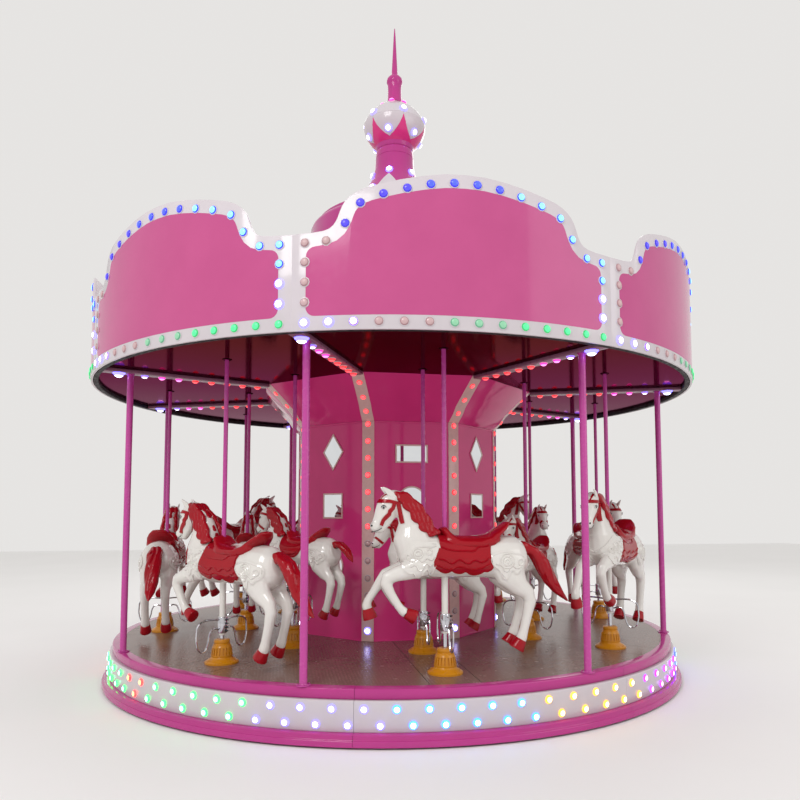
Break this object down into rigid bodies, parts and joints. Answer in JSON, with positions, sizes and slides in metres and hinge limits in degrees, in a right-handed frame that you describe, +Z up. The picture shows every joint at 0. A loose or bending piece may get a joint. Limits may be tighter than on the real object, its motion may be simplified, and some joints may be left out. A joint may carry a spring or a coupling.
{
  "type": "fairground carousel",
  "caption": "Round fairground ride: galloping horses on poles under an arched, lamp-trimmed canopy with an onion-domed tower.",
  "frame": {"origin": "on the ground at the centre of the ride, under the bearing pedestal", "axes": "+Z up along the turning axis; -Y through the middle of rounding board 0, whose horses face -X"},
  "size_m": [5.292, 5.292, 6.125],
  "materials": {
    "steel_base": "matte",
    "tread_floor": "satin",
    "pink_gelcoat": "gloss",
    "pink_paint": "gloss",
    "magenta_panel": "gloss",
    "white_gelcoat": "gloss",
    "horse_gelcoat": "gloss"
  },
  "bodies": {
    "base": {"base_frame": "steel_base"},
    "turntable": {"deck": "tread_floor", "skirt": "pink_gelcoat", "post_0": "pink_paint", "post_1": "pink_paint", "post_2": "pink_paint", "post_3": "pink_paint", "post_4": "pink_paint", "post_5": "pink_paint", "post_6": "pink_paint", "post_7": "pink_paint", "column": "magenta_panel", "column_head": "magenta_panel", "canopy_frame": "pink_paint", "ceiling": "magenta_panel", "rounding_board_0": "pink_gelcoat", "rounding_board_1": "pink_gelcoat", "rounding_board_2": "pink_gelcoat", "rounding_board_3": "pink_gelcoat", "rounding_board_4": "pink_gelcoat", "rounding_board_5": "pink_gelcoat", "rounding_board_6": "pink_gelcoat", "rounding_board_7": "pink_gelcoat", "roof": "pink_gelcoat", "tower": "magenta_panel", "onion": "white_gelcoat", "spire": "pink_gelcoat"},
    "rider_outer_0": {"horse_outer_0": "horse_gelcoat", "pole_outer_0": "pink_paint"},
    "rider_outer_1": {"horse_outer_1": "horse_gelcoat", "pole_outer_1": "pink_paint"},
    "rider_outer_2": {"horse_outer_2": "horse_gelcoat", "pole_outer_2": "pink_paint"},
    "rider_outer_3": {"horse_outer_3": "horse_gelcoat", "pole_outer_3": "pink_paint"},
    "rider_outer_4": {"horse_outer_4": "horse_gelcoat", "pole_outer_4": "pink_paint"},
    "rider_outer_5": {"horse_outer_5": "horse_gelcoat", "pole_outer_5": "pink_paint"},
    "rider_outer_6": {"horse_outer_6": "horse_gelcoat", "pole_outer_6": "pink_paint"},
    "rider_outer_7": {"horse_outer_7": "horse_gelcoat", "pole_outer_7": "pink_paint"},
    "rider_inner_0": {"horse_inner_0": "horse_gelcoat", "pole_inner_0": "pink_paint"},
    "rider_inner_1": {"horse_inner_1": "horse_gelcoat", "pole_inner_1": "pink_paint"},
    "rider_inner_2": {"horse_inner_2": "horse_gelcoat", "pole_inner_2": "pink_paint"},
    "rider_inner_3": {"horse_inner_3": "horse_gelcoat", "pole_inner_3": "pink_paint"},
    "rider_inner_4": {"horse_inner_4": "horse_gelcoat", "pole_inner_4": "pink_paint"},
    "rider_inner_5": {"horse_inner_5": "horse_gelcoat", "pole_inner_5": "pink_paint"},
    "rider_inner_6": {"horse_inner_6": "horse_gelcoat", "pole_inner_6": "pink_paint"},
    "rider_inner_7": {"horse_inner_7": "horse_gelcoat", "pole_inner_7": "pink_paint"}
  },
  "joints": [
    {"name": "carousel_spin", "type": "hinge", "parent": "base", "child": "turntable", "pos_m": [0, 0, 0.1], "axis": [0, 0, 1], "continuous": true},
    {"name": "rise_outer_0", "type": "slide", "parent": "turntable", "child": "rider_outer_0", "axis": [0, 0, 1], "range_m": [-0.082, 0.058]},
    {"name": "rise_outer_1", "type": "slide", "parent": "turntable", "child": "rider_outer_1", "axis": [0, 0, 1], "range_m": [-0.086, 0.054]},
    {"name": "rise_outer_2", "type": "slide", "parent": "turntable", "child": "rider_outer_2", "axis": [0, 0, 1], "range_m": [-0.03, 0.11]},
    {"name": "rise_outer_3", "type": "slide", "parent": "turntable", "child": "rider_outer_3", "axis": [0, 0, 1], "range_m": [-0.12, 0.02]},
    {"name": "rise_outer_4", "type": "slide", "parent": "turntable", "child": "rider_outer_4", "axis": [0, 0, 1], "range_m": [-0.055, 0.085]},
    {"name": "rise_outer_5", "type": "slide", "parent": "turntable", "child": "rider_outer_5", "axis": [0, 0, 1], "range_m": [-0.11, 0.03]},
    {"name": "rise_outer_6", "type": "slide", "parent": "turntable", "child": "rider_outer_6", "axis": [0, 0, 1], "range_m": [-0.002, 0.138]},
    {"name": "rise_outer_7", "type": "slide", "parent": "turntable", "child": "rider_outer_7", "axis": [0, 0, 1], "range_m": [-0.017, 0.123]},
    {"name": "rise_inner_0", "type": "slide", "parent": "turntable", "child": "rider_inner_0", "axis": [0, 0, 1], "range_m": [-0.004, 0.136]},
    {"name": "rise_inner_1", "type": "slide", "parent": "turntable", "child": "rider_inner_1", "axis": [0, 0, 1], "range_m": [-0.012, 0.128]},
    {"name": "rise_inner_2", "type": "slide", "parent": "turntable", "child": "rider_inner_2", "axis": [0, 0, 1], "range_m": [-0.105, 0.035]},
    {"name": "rise_inner_3", "type": "slide", "parent": "turntable", "child": "rider_inner_3", "axis": [0, 0, 1], "range_m": [-0.045, 0.095]},
    {"name": "rise_inner_4", "type": "slide", "parent": "turntable", "child": "rider_inner_4", "axis": [0, 0, 1], "range_m": [-0.125, 0.015]},
    {"name": "rise_inner_5", "type": "slide", "parent": "turntable", "child": "rider_inner_5", "axis": [0, 0, 1], "range_m": [-0.025, 0.115]},
    {"name": "rise_inner_6", "type": "slide", "parent": "turntable", "child": "rider_inner_6", "axis": [0, 0, 1], "range_m": [-0.04, 0.1]},
    {"name": "rise_inner_7", "type": "slide", "parent": "turntable", "child": "rider_inner_7", "axis": [0, 0, 1], "range_m": [-0.1, 0.04]}
  ]
}
